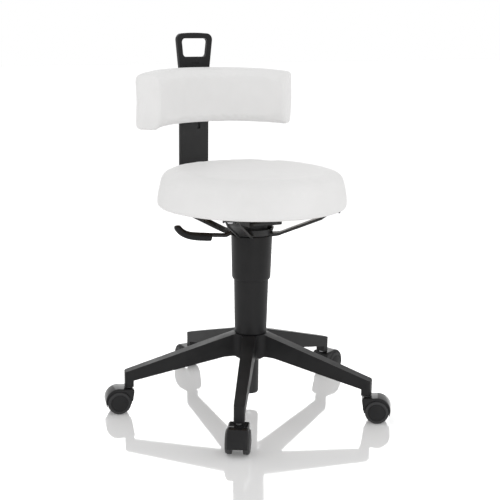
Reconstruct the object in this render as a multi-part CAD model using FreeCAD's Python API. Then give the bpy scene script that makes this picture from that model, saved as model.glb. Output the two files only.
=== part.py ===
"""Dentist stool: a round seat on a gas spring, a five-star base with twin-wheel casters,
and a curved backrest that slides up and down on a mast behind the seat.

Millimetres. The origin is on the floor under the column's axis, +Z is up, the user sits facing -Y,
so the mast stands at +Y and the user's right hand is at -X.
"""
import FreeCAD, Part
import math
import os

Vector = FreeCAD.Vector
UP = Vector(0, 0, 1)
ORIGIN = Vector(0, 0, 0)
os.makedirs("parts", exist_ok=True)

# Clearances
RUNNING_GAP = 0.05        # radial gap of a shaft that turns or slides in its bore
MOVING_GAP = 0.6          # gap between bodies that pass each other
GLIDE_GAP = 0.3           # gap of a flat bar in its guide
WHEEL_GAP = 0.8           # gap between a caster's wheel and its hood

# Casters
WHEEL_R = 25.0
TRAIL = 22.5
WHEEL_INNER_Y = 11.0
TREAD_OUTER_Y = 22.0
WHEEL_OUTER_Y = 26.0
TREAD_DEPTH = 6.5
AXLE_R = 4.0
AXLE_HALF = 20.0
HOOD_HALF = 21.5
HOOD_R = WHEEL_R + 3.5
HOOD_SHOULDER_Z = 2 * WHEEL_R + 4.5
HOOD_TOP_Z = 2 * WHEEL_R + 5.5
HOOD_LOW_Z = WHEEL_R - 7.0
STEM_SIDE = 9.5
STEM_R = 5.5
STEM_LENGTH = 24.0
STEM_COLLAR_R = 8.5
TURNED_LEG = 3            # this leg's caster stands turned on its stem
TURNED_DEG = 15.0

# Five-star base
LEG_COUNT = 5
FIRST_LEG_DEG = 180.0     # directions run from -Y towards +X, so 180 points to the back
CASTER_CIRCLE_R = 265.5
SOCKET_LENGTH = 18.0
LEG_REACH = CASTER_CIRCLE_R + SOCKET_LENGTH / 2
SOCKET_DEPTH_Z = HOOD_SHOULDER_Z + 1.5
LEG_ROOT_WIDTH = 28.0
LEG_TIP_WIDTH = 22.0
LEG_ROOT_R = 38.0
LEG_TOP_Z = 161.7
LEG_TIP_Z = SOCKET_DEPTH_Z + 33.0
LEG_BELLY_ROOT_Z = 111.0
LEG_BELLY_ROOT_R = 62.0
LEG_BELLY_TIP_Z = SOCKET_DEPTH_Z + 13.5
LEG_WALL = 3.5
LEG_RIB = 2.4
LEG_BAYS = 4
VALLEY_R = 18.0
TIP_CORNER_R = 6.0
HUB_TOP_Z = 160.0
HUB_BOTTOM_Z = 105.0
HUB_RING_WALL = 4.0

# Gas spring
CYLINDER_R = 14.0
CYLINDER_WALL = 1.5
CYLINDER_BOTTOM_Z = 180.0
BUSH_WALL = 3.1
BUSH_LENGTH = 70.0
BUSH_FLANGE = 3.0
TUBE_WALL = 1.6
TUBE_BOTTOM_R = CYLINDER_R + RUNNING_GAP + BUSH_WALL + TUBE_WALL
TUBE_TOP_R = TUBE_BOTTOM_R + 1.75
TUBE_BOTTOM_Z = 23.4
TUBE_TOP_Z = 260.0
TUBE_FLOOR = 4.0
SEAL_LENGTH = 11.0
ROD_R = 5.0
PISTON_LENGTH = 12.0
CHAMBER_LENGTH = 145.0
VALVE_PIN_R = 2.5
SOCKET_WALL = 5.0
TAPER_LENGTH = 28.0
TAPER_DROP = 0.8
BUMPER_LENGTH = 14.0
BALL_R = 2.0
BALL_COUNT = 9

# Telescopic covers
COVER_WALL = 2.0
COVER_LIP = 4.0
COVER_OVERLAP = 7.5
UPPER_COVER_BOTTOM_Z = 280.5
UPPER_COVER_TOP_Z = 377.4
LOWER_COVER_BOTTOM_Z = HUB_TOP_Z + 1.6
LOWER_COVER_TOP_Z = UPPER_COVER_BOTTOM_Z + COVER_OVERLAP
LOWER_COVER_TOP_R = 37.2
LOWER_COVER_BOTTOM_R = LOWER_COVER_TOP_R - 2.9
UPPER_COVER_BOTTOM_R = LOWER_COVER_TOP_R + MOVING_GAP + 3.6
UPPER_COVER_TOP_R = UPPER_COVER_BOTTOM_R + 2.6

# Seat carrier
CUP_BOTTOM_Z = UPPER_COVER_TOP_Z + 1.1
CUP_FLOOR = 4.0
CUP_RIM_Z = CUP_BOTTOM_Z + 14.0
CUP_BOTTOM_R = UPPER_COVER_TOP_R - 1.0
CUP_RIM_R = CUP_BOTTOM_R + 4.0
CUP_WALL = 2.5
STRAP_WIDTH = 28.0
STRAP_SHEET = 3.0
STRAP_LIP = 2.5
STRAP_LIP_DROP = 3.0
STRAP_FLAT = 12.0
STRAP_DIRECTIONS = (45.0, 135.0, 225.0, 315.0)
HOUSING_R = 33.0
HOUSING_TOP_Z = CUP_BOTTOM_Z + 24.5

# Height lever
LEVER_DEG = -100.0
LEVER_ROD_R = 4.5
PIVOT_R = 24.0
PIVOT_PIN_R = 3.0
LEVER_Z = CUP_BOTTOM_Z + CUP_FLOOR + 6.5
LEVER_SLOT = 18.0
LEVER_DIP = 1.2           # room over the gas cylinder for the lever's inner end when it dips
GRIP_HALF = 9.0

# Mast and its guide
GLIDE_PLATE = 3.2
MAST_LEVEL_Z = HOUSING_TOP_Z + GLIDE_PLATE + GLIDE_GAP
MAST_WIDTH = 74.0
MAST_THICKNESS = 6.0
MAST_START_Y = -62.0
MAST_BEND_R = 24.0
MAST_SHOULDER_Z = 672.0
MAST_TOP_Z = 700.0
MAST_TONGUE_WIDTH = 56.0
NOTCH_PITCH = 15.0
NOTCH_COUNT = 5
GUIDE_WALL = 3.0
GUIDE_FRONT_Y = -55.0
GUIDE_BACK_Y = 88.0
GUIDE_TOP_Z = MAST_LEVEL_Z + MAST_THICKNESS + GLIDE_GAP + GUIDE_WALL
KNOB_X = 18.0
KNOB_Y = 68.0
KNOB_R = 15.0
KNOB_HEIGHT = 16.0
KNOB_TOP_Z = HOUSING_TOP_Z - 11.0
STUD_R = 4.0

# Seat
SEAT_R = 200.0
BOARD_R = SEAT_R - 8.0
BOARD_BOTTOM_Z = GUIDE_TOP_Z + 24.2
BOARD_THICKNESS = 12.0
SEAT_TOP_Z = BOARD_BOTTOM_Z + 75.0
SEAT_CROWN_R = SEAT_R - 50.0
MAST_FRONT_Y = SEAT_R + 55.0
STRAP_TIP_R = BOARD_R - 2.0
STRAP_BEND_R = STRAP_TIP_R - STRAP_FLAT
STRAP_BOLT_R = STRAP_TIP_R - STRAP_FLAT / 2

# Backrest
HEIGHT_TRAVEL = 30.0
CARRIER_WALL = 3.2
CARRIER_SIDE = 4.4
CARRIER_BOTTOM_Z = 604.0
NECK_Z = 712.0
NECK_WIDTH = 75.5
LOOP_WIDTH = 89.0
LOOP_SHOULDER_Z = 775.0
LOOP_TOP_Z = 791.0
LOOP_BAR = 12.5
LOOP_HOLE_BOTTOM_Z = 738.0
LOOP_CORNER_R = 14.0
LOOP_ROUND_R = 2.5
LOOP_CROWN = 3.0
PAD_STANDOFF = 20.0
PAD_INNER_R = 232.0
PAD_THICKNESS = 55.0
PAD_CENTRE_Y = MAST_FRONT_Y - PAD_STANDOFF - PAD_THICKNESS - PAD_INNER_R
PAD_HALF_DEG = 44.0
PAD_BOTTOM_Z = 596.0
PAD_TOP_Z = 716.0
PAD_ROUND_R = 15.0
SHELL_THICKNESS = 8.0
SHELL_BACKING = 6.0
SHELL_HALF_DEG = 36.0
SHELL_MARGIN = 16.0
BRACKET_SIZE = 60.0
BRACKET_BOTTOM_Z = 630.0


def save(node, shape):
    """Write one piece to its own file."""
    shape.exportStep("parts/" + node + ".step")


def tube(outer_r, inner_r, low_z, high_z):
    """An upright tube round the column's axis."""
    height = high_z - low_z
    outer = Part.makeCylinder(outer_r, height, Vector(0, 0, low_z))
    return outer.cut(Part.makeCylinder(inner_r, height, Vector(0, 0, low_z)))


def turned(points):
    """A solid turned round the column's axis from a closed outline of (radius, height) points."""
    corners = [Vector(radius, 0, height) for radius, height in points]
    outline = Part.makePolygon(corners + corners[:1])
    return Part.Face(outline).revolve(ORIGIN, UP, 360)


def line(start, end):
    """A straight edge."""
    return Part.LineSegment(start, end).toShape()


def arc(start, middle, end):
    """A round edge through three points."""
    return Part.Arc(start, middle, end).toShape()


def extruded(edges, direction):
    """A solid from a closed run of flat edges, pushed along a direction."""
    return Part.Face(Part.Wire(edges)).extrude(direction)


def polygon(points):
    """The straight edges between points, closed."""
    closed = points + points[:1]
    return [line(a, b) for a, b in zip(closed, closed[1:])]


def aimed(shape, direction_deg):
    """A copy of a piece drawn along +X, turned to point in a direction of the floor plan."""
    copy = shape.copy()
    copy.rotate(ORIGIN, UP, direction_deg - 90)
    return copy


def polar(radius, angle_deg, z=0.0):
    """The point at a radius and an angle from +X."""
    angle = math.radians(angle_deg)
    return Vector(radius * math.cos(angle), radius * math.sin(angle), z)


def rounded(shape, radius, chosen):
    """The piece with the edges that the test chooses rounded."""
    return shape.makeFillet(radius, [edge for edge in shape.Edges if chosen(edge)])


# Five-star base: one moulding of hub and legs. Seen from above it is a star with round valleys;
# seen from the side every leg falls from the hub to its caster socket.
def star_prism(inset, low_z, high_z):
    """The star's plan as a prism, with every side moved in by the inset."""
    taper = math.atan((LEG_ROOT_WIDTH - LEG_TIP_WIDTH) / 2 / (LEG_REACH - LEG_ROOT_R))
    centre_half = LEG_TIP_WIDTH / 2 + LEG_REACH * math.tan(taper) - inset
    half_sector = math.radians(180.0 / LEG_COUNT)
    reach = LEG_REACH - inset
    tip_half = centre_half - reach * math.tan(taper)
    corner = TIP_CORNER_R
    corner_mid = corner * (1 - math.sqrt(0.5))
    valley = VALLEY_R + inset
    valley_distance = (valley + centre_half * math.cos(taper)) / math.sin(half_sector + taper)
    centre = Vector(math.cos(half_sector), math.sin(half_sector), 0) * valley_distance
    touch = centre - Vector(math.sin(taper), math.cos(taper), 0) * valley
    lowest = centre * ((valley_distance - valley) / valley_distance)
    edges = []
    for leg in range(LEG_COUNT):
        spin = FreeCAD.Rotation(UP, 360.0 * leg / LEG_COUNT)
        mirror = Vector(touch.x, -touch.y, 0)
        side_start = spin.multVec(mirror)
        next_mirror = FreeCAD.Rotation(UP, 360.0 * (leg + 1) / LEG_COUNT).multVec(mirror)
        low_side = spin.multVec(Vector(reach - corner, -tip_half, 0))
        low_mid = spin.multVec(Vector(reach - corner_mid, -tip_half + corner_mid, 0))
        low_tip = spin.multVec(Vector(reach, -tip_half + corner, 0))
        high_tip = spin.multVec(Vector(reach, tip_half - corner, 0))
        high_mid = spin.multVec(Vector(reach - corner_mid, tip_half - corner_mid, 0))
        high_side = spin.multVec(Vector(reach - corner, tip_half, 0))
        high_touch = spin.multVec(touch)
        edges.append(line(side_start, low_side))
        edges.append(arc(low_side, low_mid, low_tip))
        edges.append(line(low_tip, high_tip))
        edges.append(arc(high_tip, high_mid, high_side))
        edges.append(line(high_side, high_touch))
        edges.append(arc(high_touch, spin.multVec(lowest), next_mirror))
    prism = extruded(edges, Vector(0, 0, high_z - low_z))
    prism.translate(Vector(0, 0, low_z))
    return prism


def leg_top(radius):
    """Height of a leg's top at a radius."""
    return LEG_TOP_Z + (LEG_TIP_Z - LEG_TOP_Z) * (radius - LEG_ROOT_R) / (LEG_REACH - LEG_ROOT_R)


SOCKET_START_R = LEG_REACH - SOCKET_LENGTH


def leg_belly(radius):
    """Height of a leg's lower edge at a radius."""
    share = (radius - LEG_BELLY_ROOT_R) / (SOCKET_START_R - LEG_BELLY_ROOT_R)
    return LEG_BELLY_ROOT_Z + (LEG_BELLY_TIP_Z - LEG_BELLY_ROOT_Z) * share


HUB_BORE_TOP_R = TUBE_TOP_R + HUB_RING_WALL
HUB_OUTER_R = LEG_ROOT_R - 4
side_view = turned([
    (0, HUB_BOTTOM_Z), (HUB_OUTER_R - 4, HUB_BOTTOM_Z), (HUB_OUTER_R + 6, LEG_BELLY_ROOT_Z + 1),
    (LEG_BELLY_ROOT_R, LEG_BELLY_ROOT_Z), (SOCKET_START_R, LEG_BELLY_TIP_Z),
    (SOCKET_START_R, SOCKET_DEPTH_Z), (LEG_REACH + 1, SOCKET_DEPTH_Z),
    (LEG_REACH + 1, leg_top(LEG_REACH + 1)), (LEG_ROOT_R, LEG_TOP_Z), (HUB_OUTER_R, HUB_TOP_Z),
    (0, HUB_TOP_Z)])
base = star_prism(0, SOCKET_DEPTH_Z, LEG_TOP_Z + 1).common(side_view)
bay_start = LEG_ROOT_R + LEG_WALL
bay_length = (SOCKET_START_R - LEG_WALL - bay_start) / LEG_BAYS
hollow_plan = star_prism(LEG_WALL, SOCKET_DEPTH_Z, LEG_TOP_Z + 1)
for bay in range(LEG_BAYS):
    near = bay_start + bay * bay_length
    far = near + bay_length - LEG_RIB
    bay_ring = turned([
        (near, SOCKET_DEPTH_Z), (far, SOCKET_DEPTH_Z), (far, leg_top(far) - LEG_WALL),
        (near, leg_top(near) - LEG_WALL)])
    base = base.cut(hollow_plan.common(bay_ring))
base = base.cut(Part.makeCylinder(HUB_BORE_TOP_R, LEG_TOP_Z, ORIGIN))
base.rotate(ORIGIN, UP, FIRST_LEG_DEG - 90)
leg_directions = [FIRST_LEG_DEG + 360.0 * leg / LEG_COUNT for leg in range(LEG_COUNT)]
stem_bore = Part.makeCylinder(
    STEM_R + RUNNING_GAP, STEM_LENGTH + 1, Vector(CASTER_CIRCLE_R, 0, SOCKET_DEPTH_Z - 1))
for direction in leg_directions:
    base = base.cut(aimed(stem_bore, direction))
save("five_star_base", base)

# Steel ring in the hub, with the taper that grips the gas spring's tube.
taper_cutter = turned([
    (0, HUB_BOTTOM_Z), (TUBE_TOP_R - 1, HUB_BOTTOM_Z), (TUBE_TOP_R, HUB_TOP_Z), (0, HUB_TOP_Z)])
hub_ring = Part.makeCylinder(HUB_BORE_TOP_R, HUB_TOP_Z - HUB_BOTTOM_Z, Vector(0, 0, HUB_BOTTOM_Z))
save("hub_ring", hub_ring.cut(taper_cutter))

# Stand tube: the fixed outer tube of the gas spring, closed by a rounded foot below the hub.
tube_inner_r = TUBE_BOTTOM_R - TUBE_WALL
foot_round = 5.0
stand_tube = turned([
    (ROD_R + 1, TUBE_BOTTOM_Z), (TUBE_BOTTOM_R - foot_round, TUBE_BOTTOM_Z),
    (TUBE_BOTTOM_R - foot_round * 0.3, TUBE_BOTTOM_Z + foot_round * 0.3),
    (TUBE_BOTTOM_R, TUBE_BOTTOM_Z + foot_round), (TUBE_BOTTOM_R, HUB_BOTTOM_Z - 2),
    (TUBE_TOP_R - 1, HUB_BOTTOM_Z), (TUBE_TOP_R, HUB_TOP_Z), (TUBE_TOP_R, TUBE_TOP_Z),
    (tube_inner_r, TUBE_TOP_Z), (tube_inner_r, TUBE_BOTTOM_Z + foot_round + TUBE_FLOOR),
    (ROD_R + 1, TUBE_BOTTOM_Z + foot_round + TUBE_FLOOR)])
clip_pocket_r = ROD_R + 4
clip_z = TUBE_BOTTOM_Z + 2
stand_tube = stand_tube.cut(Part.makeCylinder(clip_pocket_r, foot_round, Vector(0, 0, TUBE_BOTTOM_Z)))
save("stand_tube", stand_tube)

# Plastic guide bush in the top of the stand tube, with a flange on its rim.
bush_inner_r = CYLINDER_R + RUNNING_GAP
guide_bush = tube(tube_inner_r, bush_inner_r, TUBE_TOP_Z - BUSH_LENGTH, TUBE_TOP_Z)
save("guide_bush", guide_bush.fuse(tube(TUBE_TOP_R, bush_inner_r, TUBE_TOP_Z, TUBE_TOP_Z + BUSH_FLANGE)))

# Thrust bearing on the tube's floor: two washers with balls between them.
bearing_z = TUBE_BOTTOM_Z + foot_round + TUBE_FLOOR
washer = 2.0
bearing_top_z = bearing_z + 2 * washer + 2 * BALL_R
washer_r = tube_inner_r - 3
bearing = [tube(washer_r, ROD_R + RUNNING_GAP, bearing_z, bearing_z + washer),
           tube(washer_r, ROD_R + RUNNING_GAP, bearing_top_z - washer, bearing_top_z)]
ball_circle_r = (washer_r + ROD_R) / 2
for ball in range(BALL_COUNT):
    place = polar(ball_circle_r, 360.0 * ball / BALL_COUNT, bearing_z + washer + BALL_R)
    bearing.append(Part.makeSphere(BALL_R, place))
save("thrust_bearing", Part.makeCompound(bearing))

# Lower cover: a telescopic sleeve that stands on the hub.
foot_ring_r = HUB_OUTER_R - 3
lower_cover = turned([
    (TUBE_TOP_R + 0.2, HUB_TOP_Z), (foot_ring_r, HUB_TOP_Z), (foot_ring_r, LOWER_COVER_BOTTOM_Z),
    (LOWER_COVER_BOTTOM_R, LOWER_COVER_BOTTOM_Z), (LOWER_COVER_TOP_R, LOWER_COVER_TOP_Z),
    (LOWER_COVER_TOP_R - COVER_WALL, LOWER_COVER_TOP_Z),
    (LOWER_COVER_BOTTOM_R - COVER_WALL, LOWER_COVER_BOTTOM_Z + COVER_WALL),
    (TUBE_TOP_R + 0.2, LOWER_COVER_BOTTOM_Z + COVER_WALL)])
save("lower_cover", lower_cover)

# Piston rod and what is on it. It turns with the seat on the thrust bearing but never rises.
rod_collar_r = ROD_R + 3
collar_z = bearing_top_z
collar_top_z = collar_z + 4
piston_bottom_z = CYLINDER_BOTTOM_Z + SEAL_LENGTH + 3
rod_top_z = piston_bottom_z + PISTON_LENGTH + 2
rod = Part.makeCylinder(ROD_R, rod_top_z - clip_z, Vector(0, 0, clip_z))
collar_gap = 0.3
rod = rod.fuse(tube(rod_collar_r, ROD_R - 1, collar_z + collar_gap, collar_top_z))
clip_thickness = 1.5
clip_groove = tube(ROD_R + 1, ROD_R - 1, clip_z + 1, clip_z + 1 + clip_thickness)
save("piston_rod", rod.cut(clip_groove))
save("rod_clip", tube(clip_pocket_r - 1, ROD_R - 1, clip_z + 1, clip_z + 1 + clip_thickness))
chamber_r = CYLINDER_R - CYLINDER_WALL
piston = tube(chamber_r - RUNNING_GAP, ROD_R, piston_bottom_z, piston_bottom_z + PISTON_LENGTH)
save("piston", piston)
save("rubber_bumper", tube(ROD_R + 5.5, ROD_R, collar_top_z, collar_top_z + BUMPER_LENGTH))

# Gas cylinder: slides in the bush, carries the seat on the taper at its top, and holds the valve.
socket_top_z = CUP_BOTTOM_Z + CUP_FLOOR
cylinder_top_z = socket_top_z - LEVER_DIP
taper_bottom_z = socket_top_z - TAPER_LENGTH
chamber_top_z = CYLINDER_BOTTOM_Z + CHAMBER_LENGTH
taper_top_r = CYLINDER_R - TAPER_DROP
gas_cylinder = turned([
    (0, CYLINDER_BOTTOM_Z), (CYLINDER_R, CYLINDER_BOTTOM_Z), (CYLINDER_R, taper_bottom_z),
    (taper_top_r, cylinder_top_z), (0, cylinder_top_z)])
gas_cylinder = gas_cylinder.cut(Part.makeCylinder(chamber_r, CHAMBER_LENGTH, Vector(0, 0, CYLINDER_BOTTOM_Z)))
valve_bore = Part.makeCylinder(VALVE_PIN_R + RUNNING_GAP, TAPER_LENGTH * 3, Vector(0, 0, chamber_top_z))
save("gas_cylinder", gas_cylinder.cut(valve_bore))
seal = tube(chamber_r, ROD_R + RUNNING_GAP, CYLINDER_BOTTOM_Z + 1, CYLINDER_BOTTOM_Z + SEAL_LENGTH)
save("rod_guide_seal", seal)
lever_rod_bottom_z = LEVER_Z - LEVER_ROD_R
valve_pin_top_z = lever_rod_bottom_z - GLIDE_GAP
valve_pin_length = 30.0
valve_pin = Part.makeCylinder(VALVE_PIN_R, valve_pin_length, Vector(0, 0, valve_pin_top_z - valve_pin_length))
save("valve_pin", valve_pin)

# Upper cover: hangs under the seat carrier round the taper socket and slides over the lower cover.
socket_r = CYLINDER_R + SOCKET_WALL
lip_r = LOWER_COVER_TOP_R + MOVING_GAP
upper_cover = turned([
    (lip_r, UPPER_COVER_BOTTOM_Z), (lip_r + 1, UPPER_COVER_BOTTOM_Z),
    (UPPER_COVER_BOTTOM_R - 0.8, UPPER_COVER_BOTTOM_Z + COVER_LIP * 0.6),
    (UPPER_COVER_BOTTOM_R, UPPER_COVER_BOTTOM_Z + COVER_LIP), (UPPER_COVER_TOP_R, UPPER_COVER_TOP_Z - 1),
    (UPPER_COVER_TOP_R - 1, UPPER_COVER_TOP_Z), (socket_r, UPPER_COVER_TOP_Z),
    (socket_r, UPPER_COVER_TOP_Z - COVER_WALL),
    (UPPER_COVER_TOP_R - COVER_WALL, UPPER_COVER_TOP_Z - COVER_WALL),
    (UPPER_COVER_BOTTOM_R - COVER_WALL, UPPER_COVER_BOTTOM_Z + COVER_LIP)])
save("upper_cover", upper_cover)

# Taper socket: a steel tube through the floor of the seat carrier's cup.
taper_socket = tube(socket_r, CYLINDER_R - 2, taper_bottom_z, socket_top_z)
socket_cutter = turned([
    (0, taper_bottom_z), (CYLINDER_R, taper_bottom_z), (taper_top_r, cylinder_top_z),
    (taper_top_r, socket_top_z), (0, socket_top_z)])
save("taper_socket", taper_socket.cut(socket_cutter))

# Seat carrier: a pressed cup with four straps that rise to the seat board.
strap_tip_z = BOARD_BOTTOM_Z
strap_half = STRAP_WIDTH / 2


def strap_curve(drop):
    """The edges of a strap's upper side, moved down by a drop, from the cup out to the tip."""
    root = Vector(CUP_BOTTOM_R - 4, 0, CUP_BOTTOM_Z + CUP_FLOOR - drop)
    low = Vector(CUP_BOTTOM_R + 19, 0, CUP_BOTTOM_Z + CUP_FLOOR + 3 - drop)
    knee = Vector(STRAP_BEND_R - 26, 0, strap_tip_z - 16 - drop)
    rise_end = Vector(STRAP_BEND_R - 8.6, 0, strap_tip_z - 2.8 - drop)
    bend = Vector(STRAP_BEND_R - 4.5, 0, strap_tip_z - 0.72 - drop)
    flat = Vector(STRAP_BEND_R, 0, strap_tip_z - drop)
    tip = Vector(STRAP_TIP_R, 0, strap_tip_z - drop)
    root_mid = Vector((root.x + low.x) / 2, 0, root.z + 0.6)
    return [arc(root, root_mid, low), line(low, knee), line(knee, rise_end),
            arc(rise_end, bend, flat), line(flat, tip)]


def strap_sheet(top_drop, bottom_drop, low_y, width):
    """A strip of the strap between two drops below its upper side."""
    top = strap_curve(top_drop)
    bottom = strap_curve(bottom_drop)
    top_root = top[0].Vertexes[0].Point
    bottom_root = bottom[0].Vertexes[0].Point
    top_tip = top[-1].Vertexes[-1].Point
    bottom_tip = bottom[-1].Vertexes[-1].Point
    ends = [line(top_root, bottom_root), line(top_tip, bottom_tip)]
    strip = Part.Face(Part.Wire(Part.__sortEdges__(top + bottom + ends))).extrude(Vector(0, width, 0))
    strip.translate(Vector(0, low_y, 0))
    return strip


strap = strap_sheet(0, STRAP_SHEET, -strap_half, STRAP_WIDTH)
strap = strap.fuse(strap_sheet(0, STRAP_SHEET + STRAP_LIP_DROP, -strap_half, STRAP_LIP))
strap = strap.fuse(strap_sheet(0, STRAP_SHEET + STRAP_LIP_DROP, strap_half - STRAP_LIP, STRAP_LIP))
strap = strap.cut(Part.makeCylinder(3.0, 20, Vector(STRAP_BOLT_R, 0, strap_tip_z - 15)))
cover_clear_r = UPPER_COVER_TOP_R + 1.5
strap_low_z = CUP_BOTTOM_Z - STRAP_SHEET - STRAP_LIP_DROP
strap = strap.cut(turned([
    (0, strap_low_z), (cover_clear_r, strap_low_z), (cover_clear_r, CUP_BOTTOM_Z),
    (CUP_BOTTOM_R - CUP_WALL / 2, CUP_BOTTOM_Z), (CUP_RIM_R - CUP_WALL / 2, CUP_RIM_Z), (0, CUP_RIM_Z)]))
cup = turned([
    (socket_r, CUP_BOTTOM_Z), (CUP_BOTTOM_R, CUP_BOTTOM_Z), (CUP_RIM_R, CUP_RIM_Z),
    (CUP_RIM_R - CUP_WALL, CUP_RIM_Z), (CUP_BOTTOM_R - CUP_WALL, CUP_BOTTOM_Z + CUP_FLOOR),
    (socket_r, CUP_BOTTOM_Z + CUP_FLOOR)])
for direction in STRAP_DIRECTIONS:
    cup = cup.fuse(aimed(strap, direction))
lever_slot = Part.makeBox(
    CUP_RIM_R, LEVER_SLOT, CUP_RIM_Z, Vector(HOUSING_R - 3, -LEVER_SLOT / 2, CUP_BOTTOM_Z - 1))
save("seat_carrier", cup.cut(aimed(lever_slot, LEVER_DEG)))

# Mechanism housing: a die-cast block on the cup's floor that holds the lever's pivot.
housing_bottom_z = CUP_BOTTOM_Z + CUP_FLOOR
housing = Part.makeCylinder(HOUSING_R, HOUSING_TOP_Z - housing_bottom_z, Vector(0, 0, housing_bottom_z))
lever_room = Part.makeBox(
    HOUSING_R + 9, LEVER_SLOT, HOUSING_TOP_Z - 4 - housing_bottom_z,
    Vector(-9, -LEVER_SLOT / 2, housing_bottom_z))
pivot_pin = Part.makeCylinder(
    PIVOT_PIN_R, 2 * LEVER_SLOT, Vector(PIVOT_R, -LEVER_SLOT, LEVER_Z), Vector(0, 1, 0))
housing = housing.cut(aimed(lever_room, LEVER_DEG))
housing = housing.cut(aimed(pivot_pin, LEVER_DEG))
save("mechanism_housing", housing)
save("lever_pivot_pin", aimed(pivot_pin, LEVER_DEG))

# Height lever: a bent steel rod that presses on the valve pin, with a hooked plastic grip.
rod_start = Vector(-VALVE_PIN_R - 1, 0, LEVER_Z)
rod_route = [
    rod_start, Vector(PIVOT_R + 8, 0, LEVER_Z), Vector(58, 0, LEVER_Z - 11.5),
    Vector(90, 0, LEVER_Z - 9), Vector(150, 0, LEVER_Z - 3.5)]


def bent_route(points, bend_r):
    """Straight runs between points, joined by arcs of one radius."""
    edges = []
    start = points[0]
    for before, corner, after in zip(points, points[1:], points[2:]):
        back = (before - corner).normalize()
        ahead = (after - corner).normalize()
        half_turn = (math.pi - back.getAngle(ahead)) / 2
        tangent = bend_r * math.tan(half_turn)
        middle = (back + ahead).normalize() * (bend_r / math.cos(half_turn) - bend_r)
        arc_start = corner + back * tangent
        arc_end = corner + ahead * tangent
        edges.append(line(start, arc_start))
        edges.append(arc(arc_start, corner + middle, arc_end))
        start = arc_end
    edges.append(line(start, points[-1]))
    return Part.Wire(edges)


rod_section = Part.Wire(Part.makeCircle(LEVER_ROD_R, rod_start, Vector(1, 0, 0)))
lever_rod = bent_route(rod_route, 14.0).makePipeShell([rod_section], True, False)
boss_half = LEVER_SLOT / 2 - MOVING_GAP - 1
pivot_boss = Part.makeBox(14, 2 * boss_half, 11, Vector(PIVOT_R - 7, -boss_half, LEVER_Z - 5.5))
lever_rod = lever_rod.fuse(pivot_boss)
pin_bore = Part.makeCylinder(
    PIVOT_PIN_R + RUNNING_GAP, 2 * LEVER_SLOT, Vector(PIVOT_R, -LEVER_SLOT, LEVER_Z), Vector(0, 1, 0))
lever_rod = lever_rod.cut(pin_bore)
save("lever_rod", aimed(lever_rod, LEVER_DEG))


def grip_point(radius, rise):
    """A point of the grip's side outline, at a height over the lever's pivot."""
    return Vector(radius, -GRIP_HALF, LEVER_Z + rise)


grip_points = [
    grip_point(97, -21.5), grip_point(117, -20), grip_point(136, -16.3), grip_point(157, -8.7),
    grip_point(167, 0), grip_point(171, 8.5), grip_point(168, 14.5), grip_point(161.5, 16.1),
    grip_point(155.5, 13.5), grip_point(154, 9), grip_point(150.5, 3.5), grip_point(141, 0.4),
    grip_point(92, -4), grip_point(91, -8)]
lever_grip = extruded(polygon(grip_points), Vector(0, 2 * GRIP_HALF, 0))
lever_grip = rounded(lever_grip, 2.5, lambda edge: abs(edge.CenterOfMass.y) > GRIP_HALF - 0.1)
save("lever_grip", aimed(lever_grip.cut(lever_rod), LEVER_DEG))

# Mast: one flat steel bar that runs under the seat, bends up behind it and ends in a tongue.
mast_back_y = MAST_FRONT_Y + MAST_THICKNESS
mast_half = MAST_WIDTH / 2
bend_centre_y = mast_back_y - MAST_BEND_R
bend_centre_z = MAST_LEVEL_Z + MAST_BEND_R
inner_bend_r = MAST_BEND_R - MAST_THICKNESS
level_top_z = MAST_LEVEL_Z + MAST_THICKNESS


def bend_arc(radius):
    """A quarter arc of the mast's bend, from the level run to the upright run."""
    centre = Vector(-mast_half, bend_centre_y, bend_centre_z)
    diagonal = radius * math.sqrt(0.5)
    start = centre + Vector(0, 0, -radius)
    middle = centre + Vector(0, diagonal, -diagonal)
    return arc(start, middle, centre + Vector(0, radius, 0))


mast_edges = [
    line(Vector(-mast_half, MAST_START_Y, MAST_LEVEL_Z), Vector(-mast_half, bend_centre_y, MAST_LEVEL_Z)),
    bend_arc(MAST_BEND_R),
    line(Vector(-mast_half, mast_back_y, bend_centre_z), Vector(-mast_half, mast_back_y, MAST_TOP_Z)),
    line(Vector(-mast_half, mast_back_y, MAST_TOP_Z), Vector(-mast_half, MAST_FRONT_Y, MAST_TOP_Z)),
    line(Vector(-mast_half, MAST_FRONT_Y, MAST_TOP_Z), Vector(-mast_half, MAST_FRONT_Y, bend_centre_z)),
    bend_arc(inner_bend_r),
    line(Vector(-mast_half, bend_centre_y, level_top_z), Vector(-mast_half, MAST_START_Y, level_top_z)),
    line(Vector(-mast_half, MAST_START_Y, level_top_z), Vector(-mast_half, MAST_START_Y, MAST_LEVEL_Z))]
mast_bar = extruded(mast_edges, Vector(MAST_WIDTH, 0, 0))
shoulder_cut = (MAST_WIDTH - MAST_TONGUE_WIDTH) / 2
for side_x in (-mast_half, mast_half - shoulder_cut):
    mast_bar = mast_bar.cut(Part.makeBox(
        shoulder_cut, 2 * MAST_THICKNESS, MAST_TOP_Z, Vector(side_x, MAST_FRONT_Y - 3, MAST_SHOULDER_Z)))
for notch in range(NOTCH_COUNT):
    notch_z = MAST_SHOULDER_Z - 8 - notch * NOTCH_PITCH
    mast_bar = mast_bar.cut(Part.makeBox(12, 2 * MAST_THICKNESS, 5, Vector(-6, MAST_FRONT_Y - 3, notch_z)))
stop_pocket = Part.makeBox(6, MAST_THICKNESS + 1, 13, Vector(9, MAST_FRONT_Y - 3, 576))
mast_bar = mast_bar.cut(stop_pocket)
mast_bar = rounded(
    mast_bar, 8.0,
    lambda edge: abs(edge.CenterOfMass.y - MAST_START_Y) < 0.1 and abs(edge.CenterOfMass.x) > mast_half - 0.1)
save("mast_bar", mast_bar)

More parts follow.
